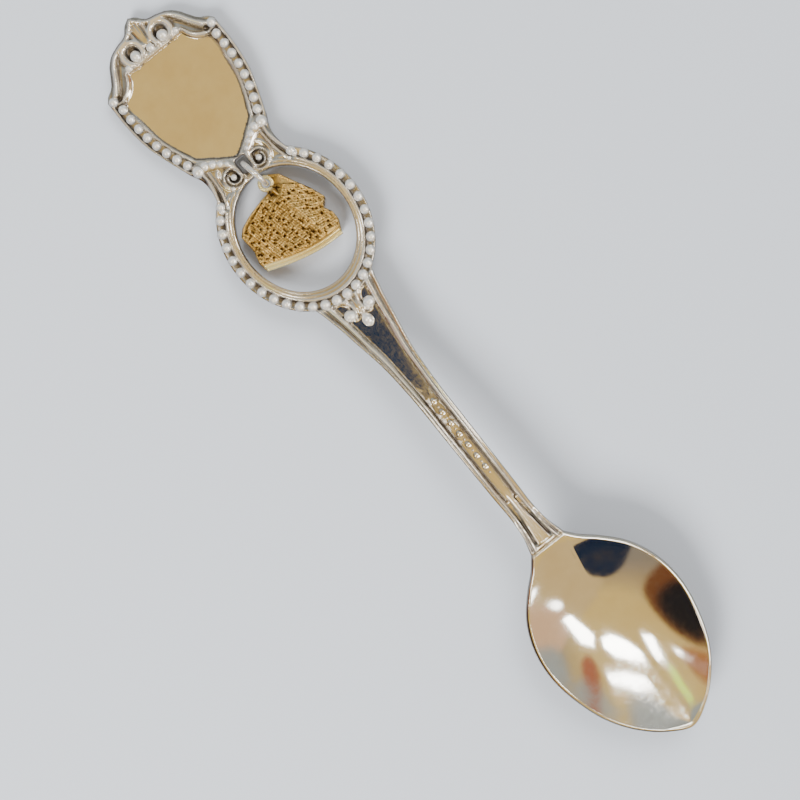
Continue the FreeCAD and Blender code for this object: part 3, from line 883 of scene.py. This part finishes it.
# ---------------------------------------------------------------- materials
def node_adder(tree):
    """A function that adds a node to a tree. Its inputs and settings are given by name."""

    def add(kind, **settings):
        node = tree.nodes.new("ShaderNode" + kind)
        for key, value in settings.items():
            if key in node.inputs:
                node.inputs[key].default_value = value
            else:
                setattr(node, key, value)
        return node

    return add


def ramp(add, stops):
    """A colour ramp with the given (place, colour) stops."""
    node = add("ValToRGB")
    elements = node.color_ramp.elements
    for n, (place, colour) in enumerate(stops):
        element = elements[n] if n < 2 else elements.new(place)
        element.position = place
        element.color = (*colour, 1)
    return node


def new_material(name):
    """An empty node material, and its tree and shader."""
    material = bpy.data.materials.new(name)
    material.use_nodes = True
    return material, material.node_tree, material.node_tree.nodes["Principled BSDF"]


def metal(name, bright, warm, dark, roughness, recess_gain=1.0, bump=0.04, metallic=1.0):
    """Plated metal: patchy colour, darkening by the recess attribute (patina on the charm, painted shade
    with some patina on the spoon), fine scratches and a soft haze.
    """
    material, tree, shader = new_material(name)
    add, link = node_adder(tree), tree.links.new

    def noise(place, **settings):
        """Noise looked up at a place."""
        node = add("TexNoise", **settings)
        link(place, node.inputs["Vector"])
        return node.outputs["Fac"]

    def scaled(value, factor, plus=0.0, use_clamp=False):
        """A value times a factor, plus another. Each is a number or some node's output."""
        node = add("Math", operation="MULTIPLY_ADD", use_clamp=use_clamp)
        for socket, given in zip(node.inputs, (value, factor, plus)):
            if isinstance(given, float):
                socket.default_value = given
            else:
                link(given, socket)
        return node.outputs[0]

    place = add("TexCoord").outputs["Object"]
    colours = ramp(add, [(0.35, bright), (0.68, warm)])
    link(noise(place, Scale=240.0, Detail=4.0, Roughness=0.55), colours.inputs["Fac"])
    recess = add("Attribute", attribute_name="recess").outputs["Fac"]
    specks = noise(place, Scale=1900.0, Detail=5.0, Roughness=0.7)
    # speckled darkening by the recess attribute: patina on the charm, painted shade on the spoon
    spotty_patina_and_shade = scaled(recess, scaled(specks, 0.7, 0.62), use_clamp=True)
    patina_and_shade = scaled(spotty_patina_and_shade, recess_gain, use_clamp=True)
    mix = add("Mix", data_type="RGBA")
    link(patina_and_shade, mix.inputs["Factor"])
    link(colours.outputs["Color"], mix.inputs["A"])
    mix.inputs["B"].default_value = (*dark, 1)
    link(mix.outputs["Result"], shader.inputs["Base Color"])

    haze = add("MapRange", **{"From Min": 0.3, "From Max": 0.75,
                              "To Min": roughness * 0.75, "To Max": roughness * 1.5})
    link(specks, haze.inputs["Value"])
    link(scaled(patina_and_shade, 0.3, haze.outputs["Result"]), shader.inputs["Roughness"])

    stretch = add("Mapping", Scale=(1.0, 0.05, 1.0), Rotation=(0, 0, 0.5))
    link(place, stretch.inputs["Vector"])
    scratches = noise(stretch.outputs["Vector"], Scale=5200.0, Detail=2.0)
    dents = noise(place, Scale=520.0, Detail=3.0)
    relief_bump = add("Bump", Strength=bump, Distance=0.0004)
    link(scaled(scratches, 0.12, dents), relief_bump.inputs["Height"])
    link(relief_bump.outputs["Normal"], shader.inputs["Normal"])

    raised = add("Attribute", attribute_name="raised").outputs["Fac"]
    link(scaled(raised, -0.26, metallic), shader.inputs["Metallic"])
    return material


def plain(name, colour, strength=0.0):
    """A matt material for the floor, or a glowing one for a reflector card."""
    material, _, shader = new_material(name)
    shader.inputs["Base Color"].default_value = (0, 0, 0, 1) if strength else (*colour, 1)
    shader.inputs["Roughness"].default_value = 0.9
    shader.inputs["Specular IOR Level"].default_value = 0.0
    if strength:
        shader.inputs["Emission Color"].default_value = (*colour, 1)
        shader.inputs["Emission Strength"].default_value = strength
    return material


# the plating's dark colour fills the recess map: painted shade, with some patina, in the handle's hollows
# and at the ornament's feet
plated = metal("plated_stamping", (0.88, 0.85, 0.79), (0.82, 0.76, 0.66), (0.055, 0.04, 0.033), 0.1,
               recess_gain=0.9, bump=0.02)
# the beads get a whiter, less metallic copy of the plating, partly a painted highlight for their glare;
# their dark colour is painted shade at their feet
plated_beads = metal("plated_beads", (0.97, 0.96, 0.93), (0.93, 0.91, 0.86), (0.06, 0.05, 0.045), 0.2,
                     metallic=0.68)
plated_bowl = metal("plated_bowl", (0.88, 0.86, 0.8), (0.84, 0.8, 0.71), (0.2, 0.16, 0.13), 0.1,
                    bump=0.02)
wire_metal = metal("plated_wire", (0.92, 0.9, 0.86), (0.87, 0.83, 0.76), (0.2, 0.16, 0.13), 0.12,
                   metallic=0.75)
gold = metal("antique_gold", (0.86, 0.62, 0.24), (0.7, 0.48, 0.16), (0.09, 0.045, 0.012), 0.3,
             recess_gain=1.15, bump=0.1)
eye_gold = metal("polished_gold", (1.0, 0.9, 0.5), (0.95, 0.82, 0.4), (0.2, 0.1, 0.03), 0.2,
                 metallic=0.78)


def finish_piece(made, material, body, node=None):
    """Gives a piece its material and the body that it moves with."""
    made.data.materials.append(material)
    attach(made, body)
    if node:
        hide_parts(node)


finish_piece(make_handle(), plated, "spoon", "handle")
finish_piece(make_beads("beading", dome_rows()), plated_beads, "spoon")
finish_piece(make_drop(), plated_beads, "spoon")
finish_piece(make_beads("stem_ornament", ornament_rows()), plated, "spoon")
finish_piece(make_bowl(), plated_bowl, "spoon", "bowl")
finish_piece(make_link(), wire_metal, "link", "jump_ring")
finish_piece(make_charm(), gold, "pendant", "charm")
finish_piece(make_eye(), eye_gold, "pendant")
finish_piece(make_ledge("charm_ledge_upper", 0.06), eye_gold, "pendant")
finish_piece(make_ledge("charm_ledge_lower", 0.6), eye_gold, "pendant")


# ---------------------------------------------------------------- floor, light and camera
WHITE, DAYLIGHT = (1, 1, 1), (0.92, 0.96, 1)
FLOOR_COLOUR = (0.6, 0.61, 0.63)
ROOM_LIGHT = (0.66, 0.67, 0.69)
GREY_WALL = (0.45, 0.47, 0.45)
# height share from straight down to straight up, colour
ROOM_SHADES = [(0.0, (0.3, 0.3, 0.31)), (0.05, (0.26, 0.23, 0.2)), (0.25, (0.5, 0.36, 0.19)),
               (0.6, (0.9, 0.63, 0.22))]
# heading, elevation, radius of the full patch, radius where it ends, colour
ROOM_PATCHES = [
    (-80, 5, 32, 42, (0.82, 0.58, 0.26)),
    (-44, 8, 13, 20, (0.95, 0.6, 0.36)),
    (-62, 11, 2.2, 4, (7.0, 7.0, 7.0)),
    (60, 20, 40, 44, GREY_WALL),
    (100, 25, 37, 41, GREY_WALL),
    (20, 2, 34, 38, GREY_WALL),
    (-15, -8, 26, 31, GREY_WALL),
    (-8, 33, 4, 8, (0.5, 0.15, 0.07)),
    (-178, 4, 29, 33, (0.2, 0.075, 0.03)),
    (179, 8, 21, 26, (0.02, 0.017, 0.018)),
    (158, 34, 8, 12, (0.5, 0.18, 0.06)),
    (-117, 4, 13, 15, (0.01, 0.02, 0.05)),
]
# name, height, corners, colour, strength
CARDS = [
    ("window_middle", 60, [(28, -55), (13, -52), (-2, -42), (-10, -36), (-2, -34), (12, -36),
                           (29, -43), (35, -51)], WHITE, 14.0),
    ("window_long", 300, [(562, -755), (378, -603), (202, -157), (278, -131), (377, -224)], WHITE, 12.0),
    ("window_low", 300, [(330, -34), (219, -1), (47, 50), (78, 57), (181, 48), (330, -11)], WHITE, 12.0),
    ("window_thin", 300, [(-150, -30), (-225, -20), (-160, 34), (-105, 34)], WHITE, 12.0),
    ("window_small", 300, [(-296, 23), (-328, 25), (-307, 36), (-271, 36)], WHITE, 12.0),
    ("lamp_green", 300, [(-152, 50), (-191, 51), (-157, 85), (-99, 73)], (0.7, 0.95, 0.12), 1.8),
    ("dark_board", 150, [(-20, 16), (-4.5, 16), (-2.5, 28), (1, 37), (5, 42), (11, 50), (11, 56),
                         (-20, 56)], (0.006, 0.03, 0.085), 1.0),
]
camera_place, camera_aim = (3.62, 7.13, 166.95), (-3.383, -1.722, 0)
camera_heading, camera_lens = math.radians(-38.75), 58.5


def card(name, height, corners, colour, strength):
    """A level glowing card, seen only in reflections. Its corners and height are in millimetres."""
    places = [(x * MM, y * MM, height * MM) for x, y in corners]
    made = add_mesh(name, places, [list(range(len(corners)))])
    made.data.materials.append(plain(name + "_glow", colour, strength))
    made.visible_camera = False
    made.visible_diffuse = False
    made.visible_shadow = False


def make_floor():
    """One large plain sheet under the spoon."""
    reach = 3.0
    corners = [(-reach, -reach, 0), (reach, -reach, 0), (reach, reach, 0), (-reach, reach, 0)]
    floor = add_mesh("floor", corners, [[0, 1, 2, 3]])
    floor.data.materials.append(plain("pale_floor", FLOOR_COLOUR))
    floor.visible_glossy = False


def direction(azimuth, elevation):
    """A unit vector by its plan heading from +X and its height over the horizon, in degrees."""
    a, e = math.radians(azimuth), math.radians(elevation)
    return math.cos(a) * math.cos(e), math.sin(a) * math.cos(e), math.sin(e)


def make_world():
    """The room as polished metal shows it, an even pale light for everything else, and a plain
    backdrop that the far floor runs into."""
    world = bpy.data.worlds.new("studio")
    bpy.context.scene.world = world
    world.use_nodes = True
    tree = world.node_tree
    tree.nodes.clear()
    add, link = node_adder(tree), tree.links.new
    heading = add("TexCoord").outputs["Generated"]
    split = add("SeparateXYZ")
    link(heading, split.inputs[0])
    shades = ramp(add, ROOM_SHADES)
    link(split.outputs["Z"], shades.inputs["Fac"])
    colour_so_far = shades.outputs["Color"]
    for azimuth, elevation, full, end, colour in ROOM_PATCHES:
        facing = add("VectorMath", operation="DOT_PRODUCT")
        link(heading, facing.inputs[0])
        facing.inputs[1].default_value = direction(azimuth, elevation)
        share = add("MapRange", interpolation_type="SMOOTHSTEP",
                    **{"From Min": math.cos(math.radians(end)), "From Max": math.cos(math.radians(full))})
        link(facing.outputs["Value"], share.inputs["Value"])
        mix = add("Mix", data_type="RGBA")
        link(share.outputs["Result"], mix.inputs["Factor"])
        link(colour_so_far, mix.inputs["A"])
        mix.inputs["B"].default_value = (*colour, 1)
        colour_so_far = mix.outputs["Result"]
    room = add("Background")
    link(colour_so_far, room.inputs["Color"])
    even_light = add("Background", Color=(*ROOM_LIGHT, 1))
    far_floor = [floor * light for floor, light in zip(FLOOR_COLOUR, ROOM_LIGHT)]
    backdrop = add("Background", Color=(*far_floor, 1))
    path = add("LightPath")
    seen = even_light
    for kind_of_ray, background in (("Is Glossy Ray", room), ("Is Camera Ray", backdrop)):
        choice = add("MixShader")
        link(path.outputs[kind_of_ray], choice.inputs["Fac"])
        link(seen.outputs[0], choice.inputs[1])
        link(background.outputs[0], choice.inputs[2])
        seen = choice
    link(seen.outputs[0], add("OutputWorld").inputs["Surface"])


def soft_light(name, place, size, power):
    """A square area light aimed at the middle of the spoon."""
    data = bpy.data.lights.new(name, "AREA")
    data.size = size * MM
    data.energy = power
    data.color = DAYLIGHT
    made = bpy.data.objects.new(name, data)
    bpy.context.scene.collection.objects.link(made)
    made.location = Vector(place) * MM
    made.rotation_euler = (-Vector(place)).to_track_quat("-Z", "Y").to_euler()
    made.visible_glossy = False


def make_camera(place, aim, right_heading, lens):
    """The camera at the viewing angle, its picture's right side turned to a plan heading."""
    data = bpy.data.cameras.new("camera")
    data.lens = lens
    data.clip_start, data.clip_end = 0.01, 10
    made = bpy.data.objects.new("camera", data)
    bpy.context.scene.collection.objects.link(made)
    back = (Vector(place) - Vector(aim)).normalized()
    right = Vector((math.cos(right_heading), math.sin(right_heading), 0))
    right = (right - back * right.dot(back)).normalized()
    up = back.cross(right)
    turn = Matrix((right, up, back)).transposed()
    made.matrix_world = Matrix.Translation(Vector(place) * MM) @ turn.to_4x4()
    bpy.context.scene.camera = made


make_floor()
make_world()
soft_light("key", (-300, -120, 330), 200, 3.6)
soft_light("fill", (220, 160, 380), 260, 1.6)
for name, height, corners, colour, strength in CARDS:
    card(name, height, corners, colour, strength)
make_camera(camera_place, camera_aim, camera_heading, camera_lens)
